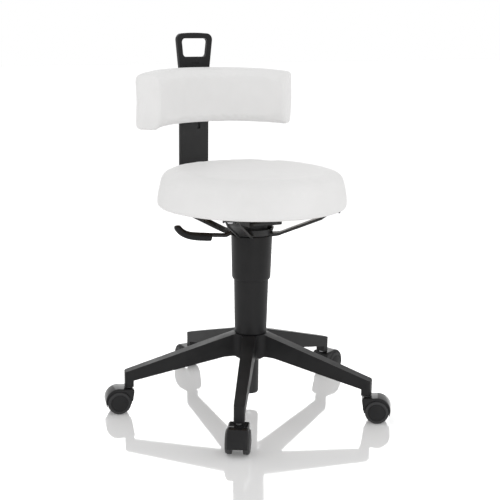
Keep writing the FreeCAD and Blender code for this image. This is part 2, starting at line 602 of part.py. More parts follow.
# Mast guide: a steel channel on the housing, with a plastic glide plate under the bar.
guide_inner_half = mast_half + GLIDE_GAP
guide_half = guide_inner_half + GUIDE_WALL
guide_length = GUIDE_BACK_Y - GUIDE_FRONT_Y
guide_inner_top_z = level_top_z + GLIDE_GAP
plate_top_z = HOUSING_TOP_Z + GLIDE_PLATE
mast_guide = Part.makeBox(
    2 * guide_half, guide_length, GUIDE_TOP_Z - HOUSING_TOP_Z,
    Vector(-guide_half, GUIDE_FRONT_Y, HOUSING_TOP_Z))
mast_guide = mast_guide.cut(Part.makeBox(
    2 * guide_inner_half, guide_length, guide_inner_top_z - HOUSING_TOP_Z,
    Vector(-guide_inner_half, GUIDE_FRONT_Y, HOUSING_TOP_Z)))
save("mast_guide", mast_guide)
glide_plate = Part.makeBox(
    2 * guide_inner_half, guide_length, plate_top_z - HOUSING_TOP_Z,
    Vector(-guide_inner_half, GUIDE_FRONT_Y, HOUSING_TOP_Z))
stud_bore = Part.makeCylinder(STUD_R + RUNNING_GAP, 40, Vector(KNOB_X, KNOB_Y, KNOB_TOP_Z))
knob_boss = Part.makeCylinder(9, HOUSING_TOP_Z - KNOB_TOP_Z - 2, Vector(KNOB_X, KNOB_Y, KNOB_TOP_Z + 2))
save("glide_plate", glide_plate.fuse(knob_boss).cut(stud_bore))

# Clamp knob: a fluted plastic knob on a threaded stud that locks the mast's level run.
knob_bottom_z = KNOB_TOP_Z - KNOB_HEIGHT
knob = Part.makeCylinder(KNOB_R, KNOB_HEIGHT, Vector(KNOB_X, KNOB_Y, knob_bottom_z))
flute_count = 6
for flute in range(flute_count):
    flute_place = Vector(KNOB_X, KNOB_Y, knob_bottom_z) + polar(KNOB_R + 3, 360.0 * flute / flute_count)
    knob = knob.cut(Part.makeCylinder(6, KNOB_HEIGHT, flute_place))
stud = Part.makeCylinder(STUD_R, plate_top_z - 6 - knob_bottom_z, Vector(KNOB_X, KNOB_Y, knob_bottom_z + 6))
save("clamp_knob", knob.cut(stud))
save("knob_stud", stud)

# Seat board: a round plywood disc under the cushion.
seat_board = Part.makeCylinder(BOARD_R, BOARD_THICKNESS, Vector(0, 0, BOARD_BOTTOM_Z))
bolt_length = 16.0
bolt_head = 3.5
bolts = []
for direction in STRAP_DIRECTIONS:
    head_z = strap_tip_z - STRAP_SHEET - bolt_head
    shank = Part.makeCylinder(3.0, bolt_length, Vector(STRAP_BOLT_R, 0, head_z))
    head = Part.makeCylinder(5.5, bolt_head, Vector(STRAP_BOLT_R, 0, head_z))
    bolts.append(aimed(shank.fuse(head), direction))
seat_bolts = Part.makeCompound(bolts)
seat_board = seat_board.cut(seat_bolts)
save("seat_board", seat_board)
save("seat_bolts", seat_bolts)

# Seat cushion: foam under artificial leather, pulled round the board's edge.
board_top_z = BOARD_BOTTOM_Z + BOARD_THICKNESS
side_low = Vector(BOARD_R + 3, 0, BOARD_BOTTOM_Z + 1)
side_mid = Vector(SEAT_R - 1.2, 0, BOARD_BOTTOM_Z + 5)
side_full = Vector(SEAT_R, 0, BOARD_BOTTOM_Z + 10)
shoulder = Vector(SEAT_R - 7, 0, SEAT_TOP_Z - 32)
crown = Vector(SEAT_CROWN_R, 0, SEAT_TOP_Z)
crown_fall = SEAT_TOP_Z - shoulder.z
crown_width = shoulder.x - SEAT_CROWN_R
crown_round_r = (crown_width ** 2 + crown_fall ** 2) / (2 * crown_fall)
half_round = math.atan2(crown_width, crown_round_r - crown_fall) / 2
round_mid = crown + Vector(math.sin(half_round), 0, math.cos(half_round) - 1) * crown_round_r
cushion_edges = [
    line(Vector(0, 0, board_top_z), Vector(BOARD_R, 0, board_top_z)),
    line(Vector(BOARD_R, 0, board_top_z), Vector(BOARD_R, 0, BOARD_BOTTOM_Z)),
    line(Vector(BOARD_R, 0, BOARD_BOTTOM_Z), side_low),
    arc(side_low, side_mid, side_full),
    line(side_full, shoulder),
    arc(shoulder, round_mid, crown),
    line(crown, Vector(0, 0, SEAT_TOP_Z)),
    line(Vector(0, 0, SEAT_TOP_Z), Vector(0, 0, board_top_z))]
seat_cushion = Part.Face(Part.Wire(cushion_edges)).revolve(ORIGIN, UP, 360)
save("seat_cushion", seat_cushion)

# Backrest carrier: a moulded sleeve that slides on the mast and ends in a loop handle.
carrier_front_y = MAST_FRONT_Y - GLIDE_GAP - CARRIER_WALL
carrier_back_y = mast_back_y + GLIDE_GAP + CARRIER_WALL
carrier_depth = carrier_back_y - carrier_front_y
sleeve_half = mast_half + GLIDE_GAP + CARRIER_SIDE
loop_half = NECK_WIDTH / 2 + (LOOP_WIDTH - NECK_WIDTH) / 2 * (LOOP_TOP_Z - LOOP_CROWN - NECK_Z) / (
    LOOP_SHOULDER_Z - NECK_Z)


def carrier_point(x, z):
    """A point of the carrier's outline on its front face."""
    return Vector(x, carrier_front_y, z)


corner_z = LOOP_TOP_Z - LOOP_CROWN
outline_points = [
    carrier_point(-loop_half, corner_z), carrier_point(-NECK_WIDTH / 2, NECK_Z),
    carrier_point(-sleeve_half, NECK_Z - 8), carrier_point(-sleeve_half, CARRIER_BOTTOM_Z),
    carrier_point(sleeve_half, CARRIER_BOTTOM_Z), carrier_point(sleeve_half, NECK_Z - 8),
    carrier_point(NECK_WIDTH / 2, NECK_Z), carrier_point(loop_half, corner_z)]
crown_edge = arc(outline_points[-1], carrier_point(0, LOOP_TOP_Z), outline_points[0])
carrier = extruded(polygon(outline_points)[:-1] + [crown_edge], Vector(0, carrier_depth, 0))
carrier = rounded(
    carrier, LOOP_CORNER_R,
    lambda edge: edge.BoundBox.ZMin > LOOP_HOLE_BOTTOM_Z and edge.BoundBox.XLength < 0.01)
hole_low_half = NECK_WIDTH / 2 - LOOP_BAR + 3.5
hole_high_half = loop_half - LOOP_BAR
hole_top_z = LOOP_TOP_Z - LOOP_BAR
hole_corners = [
    carrier_point(-hole_low_half, LOOP_HOLE_BOTTOM_Z), carrier_point(hole_low_half, LOOP_HOLE_BOTTOM_Z),
    carrier_point(hole_high_half, hole_top_z), carrier_point(-hole_high_half, hole_top_z)]
hole = extruded(polygon(hole_corners), Vector(0, carrier_depth, 0))
hole = rounded(hole, 8.0, lambda edge: abs(edge.CenterOfMass.y - (carrier_front_y + carrier_depth / 2)) < 0.1)
carrier = rounded(carrier.cut(hole), LOOP_ROUND_R, lambda edge: edge.BoundBox.YLength < 0.01)
bar_room_y = MAST_FRONT_Y - GLIDE_GAP
bar_room_depth = MAST_THICKNESS + 2 * GLIDE_GAP
shoulder_room_z = MAST_SHOULDER_Z + HEIGHT_TRAVEL + 2
tongue_room_z = MAST_TOP_Z + HEIGHT_TRAVEL + 2
bar_room = Part.makeBox(
    MAST_WIDTH + 2 * GLIDE_GAP, bar_room_depth, shoulder_room_z - CARRIER_BOTTOM_Z,
    Vector(-mast_half - GLIDE_GAP, bar_room_y, CARRIER_BOTTOM_Z))
tongue_half = MAST_TONGUE_WIDTH / 2 + GLIDE_GAP
tongue_room = Part.makeBox(
    2 * tongue_half, bar_room_depth, tongue_room_z - CARRIER_BOTTOM_Z,
    Vector(-tongue_half, bar_room_y, CARRIER_BOTTOM_Z))
carrier = carrier.cut(bar_room).cut(tongue_room)
carrier = carrier.cut(Part.makeBox(18, 1.2, 3, Vector(-9, carrier_front_y, 722.5)))
spring_low_z = 632.0
spring_length = 44.0
spring_pocket = Part.makeBox(16, 1.6, spring_length, Vector(-8, mast_back_y + GLIDE_GAP, spring_low_z))
carrier = carrier.cut(spring_pocket)

# Detent spring: a leaf in the carrier's back wall that holds the backrest at each notch.
leaf_thickness = 1.0
detent_spring = Part.makeBox(
    15, leaf_thickness, spring_length - 1,
    Vector(-7.5, mast_back_y + GLIDE_GAP + 1.6 - leaf_thickness, spring_low_z + 0.5))
save("detent_spring", detent_spring)

# Backrest bracket: a spacer between the carrier and the pad's board, with two screws through it.
pad_back_y = PAD_CENTRE_Y + PAD_INNER_R + PAD_THICKNESS
shell_outer_r = PAD_INNER_R + PAD_THICKNESS - SHELL_BACKING
shell_inner_r = shell_outer_r - SHELL_THICKNESS
bracket_sink = 8.0
bracket = Part.makeBox(
    BRACKET_SIZE, carrier_front_y - pad_back_y + bracket_sink, BRACKET_SIZE,
    Vector(-BRACKET_SIZE / 2, pad_back_y - bracket_sink, BRACKET_BOTTOM_Z))
pad_outer = Part.makeCylinder(PAD_INNER_R + PAD_THICKNESS, PAD_TOP_Z, Vector(0, PAD_CENTRE_Y, 0))
bracket = bracket.cut(pad_outer)
screws = []
head_end_y = bar_room_y - 0.2
screw_start_y = PAD_CENTRE_Y + shell_inner_r + 4
for screw_z in (BRACKET_BOTTOM_Z + 12, BRACKET_BOTTOM_Z + BRACKET_SIZE - 12):
    for screw_x in (-20.0, 20.0):
        tip = Vector(screw_x, screw_start_y, screw_z)
        screw = Part.makeCylinder(2.5, head_end_y - screw_start_y, tip, Vector(0, 1, 0))
        head = Part.makeCylinder(4.5, 1.8, Vector(screw_x, head_end_y - 1.8, screw_z), Vector(0, 1, 0))
        screws.append(screw.fuse(head))
backrest_screws = Part.makeCompound(screws)
save("backrest_screws", backrest_screws)
save("backrest_bracket", bracket.cut(backrest_screws))
save("backrest_carrier", carrier.cut(backrest_screws))


def arc_block(inner_r, outer_r, half_deg, low_z, high_z):
    """An upright block bent round the backrest's centre."""
    def corner(radius, angle_deg):
        return Vector(0, PAD_CENTRE_Y, low_z) + polar(radius, angle_deg)
    left = 90 + half_deg
    right = 90 - half_deg
    edges = [
        arc(corner(inner_r, right), corner(inner_r, 90), corner(inner_r, left)),
        line(corner(inner_r, left), corner(outer_r, left)),
        arc(corner(outer_r, left), corner(outer_r, 90), corner(outer_r, right)),
        line(corner(outer_r, right), corner(inner_r, right))]
    return extruded(edges, Vector(0, 0, high_z - low_z))


# Backrest board and cushion: a bent plywood board inside foam and artificial leather.
backrest_board = arc_block(
    shell_inner_r, shell_outer_r, SHELL_HALF_DEG, PAD_BOTTOM_Z + SHELL_MARGIN, PAD_TOP_Z - SHELL_MARGIN)
pad = arc_block(PAD_INNER_R, PAD_INNER_R + PAD_THICKNESS, PAD_HALF_DEG, PAD_BOTTOM_Z, PAD_TOP_Z)
pad = pad.makeFillet(PAD_ROUND_R, pad.Edges)
save("backrest_cushion", pad.cut(backrest_board).cut(backrest_screws))
save("backrest_board", backrest_board.cut(backrest_screws))

# Casters: a hooded twin-wheel caster at each leg's end, trailing outwards, each wheel on its own.
axle_z = WHEEL_R
hood_centre_x = TRAIL
hood_centre_z = HOOD_TOP_Z - HOOD_R
hood_low_x = hood_centre_x + math.sqrt(HOOD_R ** 2 - (HOOD_LOW_Z - hood_centre_z) ** 2)
hood_flat_x = 14.5


def hood_point(x, z):
    """A point of the hood's side view, on its left face."""
    return Vector(x, -HOOD_HALF, z)


hood_mid = hood_point(hood_centre_x + HOOD_R * math.sqrt(0.5), hood_centre_z + HOOD_R * math.sqrt(0.5))
hood_edges = [
    line(hood_point(-4.5, HOOD_LOW_Z), hood_point(-STEM_SIDE, HOOD_SHOULDER_Z - 4)),
    line(hood_point(-STEM_SIDE, HOOD_SHOULDER_Z - 4), hood_point(4 - STEM_SIDE, HOOD_SHOULDER_Z)),
    line(hood_point(4 - STEM_SIDE, HOOD_SHOULDER_Z), hood_point(hood_flat_x, HOOD_SHOULDER_Z)),
    line(hood_point(hood_flat_x, HOOD_SHOULDER_Z), hood_point(hood_centre_x, HOOD_TOP_Z)),
    arc(hood_point(hood_centre_x, HOOD_TOP_Z), hood_mid, hood_point(hood_low_x, HOOD_LOW_Z)),
    line(hood_point(hood_low_x, HOOD_LOW_Z), hood_point(-4.5, HOOD_LOW_Z))]
hood = extruded(hood_edges, Vector(0, 2 * HOOD_HALF, 0))
web_half = WHEEL_INNER_Y - WHEEL_GAP
skirt_z = axle_z + 3
for wheel_side in (-1, 1):
    room = Part.makeCylinder(
        WHEEL_R + WHEEL_GAP, HOOD_HALF, Vector(TRAIL, wheel_side * web_half, axle_z),
        Vector(0, wheel_side, 0))
    under_skirt = Part.makeBox(20, HOOD_HALF, skirt_z, Vector(-12, web_half, 0))
    if wheel_side < 0:
        under_skirt.translate(Vector(0, -2 * web_half - HOOD_HALF, 0))
    hood = hood.cut(room).cut(under_skirt)
stem_top_z = SOCKET_DEPTH_Z + STEM_LENGTH - 1
stem_bottom_z = HOOD_SHOULDER_Z - 14
stem = Part.makeCylinder(STEM_R, stem_top_z - stem_bottom_z, Vector(0, 0, stem_bottom_z))
collar = Part.makeCylinder(
    STEM_COLLAR_R, SOCKET_DEPTH_Z - GLIDE_GAP - HOOD_SHOULDER_Z, Vector(0, 0, HOOD_SHOULDER_Z))
stem = stem.fuse(collar)
axle = Part.makeCylinder(AXLE_R, 2 * AXLE_HALF, Vector(TRAIL, -AXLE_HALF, axle_z), Vector(0, 1, 0))
hood = hood.cut(stem).cut(axle)
face_r = WHEEL_R - TREAD_DEPTH
wheel_profile = [
    (AXLE_R + RUNNING_GAP, WHEEL_INNER_Y), (WHEEL_R - 1, WHEEL_INNER_Y), (WHEEL_R, WHEEL_INNER_Y + 1),
    (WHEEL_R, TREAD_OUTER_Y - 1.5), (WHEEL_R - 1.2, TREAD_OUTER_Y + 0.6), (WHEEL_R - 3.5, TREAD_OUTER_Y + 2),
    (face_r, TREAD_OUTER_Y + 2.7), (face_r - 0.5, TREAD_OUTER_Y + 2.1), (face_r - 6, TREAD_OUTER_Y + 3.3),
    (0, WHEEL_OUTER_Y), (0, AXLE_HALF + 0.3), (AXLE_R + RUNNING_GAP, AXLE_HALF + 0.3)]
wheel = turned(wheel_profile)
wheel.rotate(ORIGIN, Vector(1, 0, 0), -90)
right_wheel = wheel.copy()
right_wheel.rotate(ORIGIN, UP, 180)
for side_wheel in (wheel, right_wheel):
    side_wheel.translate(Vector(TRAIL, 0, axle_z))
caster_pieces = {
    "stem": stem, "housing": hood, "axle": axle, "wheel_left": wheel, "wheel_right": right_wheel}
for leg, direction in enumerate(leg_directions):
    swivel = TURNED_DEG if leg == TURNED_LEG else 0.0
    for piece_name, piece in caster_pieces.items():
        placed = piece.copy()
        placed.rotate(ORIGIN, UP, swivel)
        placed.translate(Vector(CASTER_CIRCLE_R, 0, 0))
        save("caster_%d_%s" % (leg + 1, piece_name), aimed(placed, direction))
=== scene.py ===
import math

import bmesh
import bpy
from mathutils import Matrix, Vector


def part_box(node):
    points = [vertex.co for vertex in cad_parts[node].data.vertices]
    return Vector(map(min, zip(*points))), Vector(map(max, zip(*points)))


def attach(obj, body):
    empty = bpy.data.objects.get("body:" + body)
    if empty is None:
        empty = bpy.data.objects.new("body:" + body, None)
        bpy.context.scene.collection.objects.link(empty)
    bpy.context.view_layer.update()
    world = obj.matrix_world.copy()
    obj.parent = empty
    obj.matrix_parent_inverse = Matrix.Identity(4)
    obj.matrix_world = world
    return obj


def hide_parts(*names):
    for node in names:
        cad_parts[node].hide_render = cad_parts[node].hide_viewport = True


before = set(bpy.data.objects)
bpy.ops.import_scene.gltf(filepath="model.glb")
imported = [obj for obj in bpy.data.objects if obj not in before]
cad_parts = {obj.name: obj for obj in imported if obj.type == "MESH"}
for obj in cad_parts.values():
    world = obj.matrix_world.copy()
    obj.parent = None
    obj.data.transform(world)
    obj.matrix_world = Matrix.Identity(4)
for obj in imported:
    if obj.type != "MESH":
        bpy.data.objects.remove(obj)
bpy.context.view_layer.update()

scene = bpy.context.scene

# Camera: at a standing person's chest height, in front of the sitter's right side,
# looking down a little at the seat.
camera_place = (-1.1765, -1.9015, 0.8326)
camera_heading = math.radians(-31.663)
camera_lift = math.radians(90 - 12.389)
camera_roll = math.radians(0.72)
camera_lens = bpy.data.cameras.new("camera_lens")
camera_lens.lens = 77.22
camera_lens.sensor_width = 36
camera = bpy.data.objects.new("camera", camera_lens)
scene.collection.objects.link(camera)
camera.matrix_world = (
    Matrix.Translation(camera_place)
    @ Matrix.Rotation(camera_heading, 4, "Z")
    @ Matrix.Rotation(camera_lift, 4, "X")
    @ Matrix.Rotation(camera_roll, 4, "Z"))
scene.camera = camera

# Studio floor and light: a white glossy floor in an even white room, with wide soft lamps
# overhead, in front and at the sitter's left. The rear lamp only puts a sheen on glossy tops.
floor_half_width = 14
floor_level = -0.0002
lamp_target = Vector((0, 0, 0.45))
floor_shell = bmesh.new()
bmesh.ops.create_grid(floor_shell, x_segments=8, y_segments=8, size=floor_half_width)
bmesh.ops.translate(floor_shell, verts=floor_shell.verts, vec=(0, 0, floor_level))
floor_mesh = bpy.data.meshes.new("studio_floor")
floor_shell.to_mesh(floor_mesh)
floor_shell.free()
floor = bpy.data.objects.new("studio_floor", floor_mesh)
scene.collection.objects.link(floor)

floor_finish = bpy.data.materials.new("white_gloss_floor")
floor_finish.use_nodes = True
floor_nodes = floor_finish.node_tree.nodes
floor_links = floor_finish.node_tree.links
floor_nodes.remove(floor_nodes["Principled BSDF"])
matt_white = floor_nodes.new("ShaderNodeBsdfDiffuse")
matt_white.inputs["Color"].default_value = (1, 1, 1, 1)
gloss = floor_nodes.new("ShaderNodeBsdfGlossy")
gloss.inputs["Color"].default_value = (1, 1, 1, 1)
gloss.inputs["Roughness"].default_value = 0.06
floor_mix = floor_nodes.new("ShaderNodeMixShader")
floor_mix.inputs["Fac"].default_value = 0.40
floor_glow = floor_nodes.new("ShaderNodeEmission")
floor_glow.inputs["Strength"].default_value = 0.12
floor_sum = floor_nodes.new("ShaderNodeAddShader")
floor_links.new(matt_white.outputs["BSDF"], floor_mix.inputs[1])
floor_links.new(gloss.outputs["BSDF"], floor_mix.inputs[2])
floor_links.new(floor_mix.outputs["Shader"], floor_sum.inputs[0])
floor_links.new(floor_glow.outputs["Emission"], floor_sum.inputs[1])
floor_links.new(floor_sum.outputs["Shader"], floor_nodes["Material Output"].inputs["Surface"])
floor_mesh.materials.append(floor_finish)

room = bpy.data.worlds.new("white_room")
room.use_nodes = True
room.node_tree.nodes["Background"].inputs["Color"].default_value = (1, 1, 1, 1)
room.node_tree.nodes["Background"].inputs["Strength"].default_value = 1.0
scene.world = room
scene.view_settings.view_transform = "Standard"

for lamp_name, watts, width, place in (
        ("overhead_lamp", 0.4, 2.4, (-0.5, -1.3, 2.7)),
        ("front_lamp", 6.0, 1.8, (-0.7, -2.9, 0.7)),
        ("left_lamp", 1.0, 1.4, (2.2, -0.6, 1.5)),
        ("rear_lamp", 12, 1.8, (1.0, 2.1, 1.0))):
    lamp_light = bpy.data.lights.new(lamp_name, "AREA")
    lamp_light.energy = watts
    lamp_light.size = width
    lamp = bpy.data.objects.new(lamp_name, lamp_light)
    scene.collection.objects.link(lamp)
    aim = lamp_target - Vector(place)
    lamp.matrix_world = (
        Matrix.Translation(place) @ aim.to_track_quat("-Z", "Y").to_matrix().to_4x4())
    lamp.visible_diffuse = lamp_name != "rear_lamp"

# Five-star base: one moulding of glass-filled nylon, hub and five hollow legs, with every edge
# rounded by the mould. The casters plug into its ends and the gas spring into its hub.
crease_angle = math.radians(32)


def new_finish(name, roughness, reflection):
    """A finish with its shader's even values set, and its nodes ready for a grain."""
    finish = bpy.data.materials.new(name)
    finish.use_nodes = True
    shader = finish.node_tree.nodes["Principled BSDF"]
    shader.inputs["Roughness"].default_value = roughness
    shader.inputs["Specular IOR Level"].default_value = reflection
    return finish


def texture(finish, scale, detail, stretch=(1, 1, 1)):
    """A noise texture in the piece's own metres, stretched along its axes."""
    nodes = finish.node_tree.nodes
    links = finish.node_tree.links
    place = nodes.new("ShaderNodeTexCoord")
    mapping = nodes.new("ShaderNodeMapping")
    mapping.inputs["Scale"].default_value = stretch
    links.new(place.outputs["Object"], mapping.inputs["Vector"])
    pattern = nodes.new("ShaderNodeTexNoise")
    pattern.inputs["Scale"].default_value = scale
    pattern.inputs["Detail"].default_value = detail
    links.new(mapping.outputs["Vector"], pattern.inputs["Vector"])
    return pattern


def tint(finish, pattern, dark, light):
    """Let the pattern run the colour from dark to light."""
    nodes = finish.node_tree.nodes
    links = finish.node_tree.links
    ramp = nodes.new("ShaderNodeValToRGB")
    ramp.color_ramp.elements[0].position = 0.3
    ramp.color_ramp.elements[1].position = 0.7
    ramp.color_ramp.elements[0].color = (*dark, 1)
    ramp.color_ramp.elements[1].color = (*light, 1)
    links.new(pattern.outputs[0], ramp.inputs["Fac"])
    links.new(ramp.outputs["Color"], nodes["Principled BSDF"].inputs["Base Color"])


def patchy_gloss(finish, pattern, smooth, rough):
    """Let the pattern run the roughness."""
    nodes = finish.node_tree.nodes
    links = finish.node_tree.links
    spread = nodes.new("ShaderNodeMapRange")
    spread.inputs["From Min"].default_value = 0.3
    spread.inputs["From Max"].default_value = 0.7
    spread.inputs["To Min"].default_value = smooth
    spread.inputs["To Max"].default_value = rough
    links.new(pattern.outputs[0], spread.inputs["Value"])
    links.new(spread.outputs["Result"], nodes["Principled BSDF"].inputs["Roughness"])


def relief(finish, pattern, height, strength):
    """Raise the surface by the pattern, up to a height in metres, over what is there."""
    nodes = finish.node_tree.nodes
    links = finish.node_tree.links
    bump = nodes.new("ShaderNodeBump")
    bump.inputs["Distance"].default_value = height
    bump.inputs["Strength"].default_value = strength
    links.new(pattern.outputs[0], bump.inputs["Height"])
    normal = nodes["Principled BSDF"].inputs["Normal"]
    if normal.is_linked:
        links.new(normal.links[0].from_socket, bump.inputs["Normal"])
    links.new(bump.outputs["Normal"], normal)


moulded_black = new_finish("moulded_black", 0.42, 0.19)
spark_grain = texture(moulded_black, 1500, 3)
relief(moulded_black, spark_grain, 0.00006, 0.5)
flow = texture(moulded_black, 24, 3)
patchy_gloss(moulded_black, flow, 0.38, 0.50)
tint(moulded_black, flow, (0.0098, 0.0098, 0.0103), (0.0150, 0.0150, 0.0156))


def dress(node, finish):
    """Give a CAD node its finish."""
    for material_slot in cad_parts[node].material_slots:
        material_slot.material = finish


def add_piece(name, shell, finish, body, stands_for=()):
    """Make the piece from its mesh, with its finish, on its body, in place of CAD nodes."""
    mesh = bpy.data.meshes.new(name)
    shell.to_mesh(mesh)
    shell.free()
    mesh.shade_smooth()
    mesh.set_sharp_from_angle(angle=crease_angle)
    mesh.materials.append(finish)
    piece = bpy.data.objects.new(name, mesh)
    scene.collection.objects.link(piece)
    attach(piece, body)
    if stands_for:
        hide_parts(*stands_for)
    return piece


def merged_copy(node):
    """The CAD node's mesh in one skin, with flat faces whole again."""
    shell = bmesh.new()
    shell.from_mesh(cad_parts[node].data)
    bmesh.ops.remove_doubles(shell, verts=shell.verts, dist=0.00002)
    bmesh.ops.dissolve_limit(
        shell, angle_limit=math.radians(0.6), use_dissolve_boundaries=False,
        verts=shell.verts, edges=shell.edges, delimit=set())
    return shell


def round_edges(piece, width, steps=3):
    """Round the piece's sharp edges to a width in metres, and even out its shading."""
    rounding = piece.modifiers.new("rounded_edges", "BEVEL")
    rounding.width = width
    rounding.segments = steps
    rounding.limit_method = "ANGLE"
    rounding.angle_limit = math.radians(28)
    rounding.use_clamp_overlap = True
    shading = piece.modifiers.new("even_shading", "WEIGHTED_NORMAL")
    shading.keep_sharp = True


star = add_piece("star_moulding", merged_copy("five_star_base"), moulded_black, "base",
                 ["five_star_base"])
round_edges(star, 0.0014)

# Hub ring, stand tube, guide bush and thrust bearing: the hub's steel ring, a steel tube pushed
# into it and powder-coated, a nylon bush in the tube's mouth and a ball bearing on its floor.
powder_coat = new_finish("powder_coat", 0.45, 0.35)
orange_peel = texture(powder_coat, 420, 2)
relief(powder_coat, orange_peel, 0.00012, 0.35)
coat_flow = texture(powder_coat, 18, 3)
patchy_gloss(powder_coat, coat_flow, 0.40, 0.50)
tint(powder_coat, coat_flow, (0.0135, 0.0135, 0.0140), (0.0195, 0.0195, 0.0200))

bare_steel = new_finish("turned_steel", 0.3, 0.5)
bare_steel.node_tree.nodes["Principled BSDF"].inputs["Metallic"].default_value = 1.0
turning_marks = texture(bare_steel, 60, 4, (0.15, 0.15, 12))
relief(bare_steel, turning_marks, 0.00002, 0.3)
tint(bare_steel, turning_marks, (0.42, 0.42, 0.43), (0.56, 0.56, 0.57))
patchy_gloss(bare_steel, turning_marks, 0.26, 0.40)

dress("hub_ring", bare_steel)
dress("stand_tube", powder_coat)
dress("guide_bush", moulded_black)
dress("thrust_bearing", bare_steel)

# Inside of the gas spring: piston, rod, clip and valve pin of ground steel, a rubber bumper and
# a rubber seal. The rod is clipped to the stand tube's floor, and a steel socket holds the top.
seal_rubber = new_finish("seal_rubber", 0.7, 0.3)
rubber_skin = texture(seal_rubber, 900, 3)
relief(seal_rubber, rubber_skin, 0.00005, 0.5)
tint(seal_rubber, rubber_skin, (0.010, 0.010, 0.010), (0.020, 0.020, 0.020))

dress("piston_rod", bare_steel)
dress("rod_clip", bare_steel)
dress("piston", bare_steel)
dress("rubber_bumper", seal_rubber)
dress("rod_guide_seal", seal_rubber)
dress("valve_pin", bare_steel)
dress("taper_socket", bare_steel)

# Gas cylinder: a drawn steel tube under a baked black lacquer. It slides in the guide bush and
# is wedged into the seat's taper socket at its top.
cylinder_paint = new_finish("cylinder_lacquer", 0.3, 0.4)
lacquer_flow = texture(cylinder_paint, 35, 3, (1, 1, 0.2))
relief(cylinder_paint, lacquer_flow, 0.00003, 0.2)
patchy_gloss(cylinder_paint, lacquer_flow, 0.24, 0.34)
tint(cylinder_paint, lacquer_flow, (0.010, 0.010, 0.011), (0.016, 0.016, 0.017))
dress("gas_cylinder", cylinder_paint)

# Telescopic covers: two blow-moulded sleeves round the gas spring. The upper one hangs from the
# seat and slides over the lower one, which stands on the hub.


def corner_outline(shell, corners, closed=True, rounding_steps=5):
    """A run of edges through (across, up, rounding) corners in metres, in the XZ plane."""
    points = [shell.verts.new((across, 0, up)) for across, up, rounding in corners]
    followers = points[1:] + points[:1] if closed else points[1:]
    for start, end in zip(points, followers):
        shell.edges.new((start, end))
    for point, (across, up, rounding) in zip(points, corners):
        if rounding:
            bmesh.ops.bevel(
                shell, geom=[point], offset=rounding, offset_type="OFFSET", segments=rounding_steps,
                profile=0.5, affect="VERTICES", material=-1, clamp_overlap=True)


def spin_outline(shell, steps):
    """Turn the outline once round the Z axis into a closed skin."""
    bmesh.ops.spin(
        shell, geom=shell.verts[:] + shell.edges[:], cent=(0, 0, 0), axis=(0, 0, 1),
        angle=math.tau, steps=steps, use_merge=True)
    bmesh.ops.remove_doubles(shell, verts=shell.verts, dist=0.00001)
    bmesh.ops.recalc_face_normals(shell, faces=shell.faces)


hub_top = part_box("lower_cover")[0].z
lower_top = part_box("lower_cover")[1].z
lower_shell = bmesh.new()
corner_outline(lower_shell, [
    (0.0215, hub_top, 0), (0.0310, hub_top, 0.0003), (0.0310, hub_top + 0.0016, 0.0004),
    (0.0343, hub_top + 0.0016, 0.0010), (0.0372, lower_top, 0.0008), (0.0352, lower_top, 0.0004),
    (0.0323, hub_top + 0.0036, 0.0006), (0.0215, hub_top + 0.0036, 0)])
spin_outline(lower_shell, 96)
add_piece("lower_sleeve", lower_shell, moulded_black, "base", ["lower_cover"])

upper_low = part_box("upper_cover")[0].z
upper_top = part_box("upper_cover")[1].z
upper_shell = bmesh.new()
corner_outline(upper_shell, [
    (0.0378, upper_low, 0.0002), (0.0396, upper_low, 0.0008), (0.0414, upper_low + 0.0034, 0.0026),
    (0.0440, upper_top, 0.0014), (0.0190, upper_top, 0), (0.0190, upper_top - 0.0020, 0),
    (0.0420, upper_top - 0.0020, 0.0010), (0.0394, upper_low + 0.0040, 0.0010)])
spin_outline(upper_shell, 96)
add_piece("upper_sleeve", upper_shell, moulded_black, "seat", ["upper_cover"])

# Casters: five hooded twin-wheel casters on pressed-in stems, each trailing outwards. The hood is
# one nylon moulding; each wheel is a nylon disc in a tread of softer polyurethane.
wheel_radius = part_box("caster_1_wheel_left")[1].z / 2
caster_circle = 0.2655
trail = 0.0225
hood_half = 0.0215
hood_radius = wheel_radius + 0.0035
hood_crown = 2 * wheel_radius + 0.0055
hood_hem = wheel_radius - 0.007
hood_rim_rounding = 0.0046
room_inner_side = 0.0102
room_depth = 0.03
room_play = 0.0008
skirt_rise = 0.003
skirt_length = 0.02
skirt_middle = -0.002
wheel_steps = 72
tread_corners = (
    (0.0185, 0.0112, 0), (0.0240, 0.0112, 0.0006), (0.0250, 0.0124, 0.0010),
    (0.0250, 0.0212, 0.0020), (0.0232, 0.0236, 0.0016), (0.0190, 0.0247, 0.0008),
    (0.0182, 0.0236, 0.0002))
disc_corners = (
    (0.0041, 0.0112, 0.0003), (0.0185, 0.0112, 0), (0.0181, 0.0238, 0.0006),
    (0.0168, 0.0238, 0.0010), (0.0150, 0.0247, 0.0020), (0.0060, 0.0258, 0.0030),
    (0, 0.0260, 0), (0, 0.0203, 0), (0.0041, 0.0203, 0.0002))

tread_finish = new_finish("wheel_tread", 0.5, 0.28)
tread_skin = texture(tread_finish, 700, 3)
relief(tread_finish, tread_skin, 0.00006, 0.5)
tint(tread_finish, tread_skin, (0.022, 0.022, 0.023), (0.032, 0.032, 0.033))
patchy_gloss(tread_finish, texture(tread_finish, 60, 2), 0.42, 0.55)

hood_finish = new_finish("caster_hood", 0.12, 0.22)
hood_skin = texture(hood_finish, 900, 2)
relief(hood_finish, hood_skin, 0.00001, 0.2)
hood_flow = texture(hood_finish, 40, 2)
patchy_gloss(hood_finish, hood_flow, 0.09, 0.15)
tint(hood_finish, hood_flow, (0.0080, 0.0080, 0.0084), (0.0110, 0.0110, 0.0115))


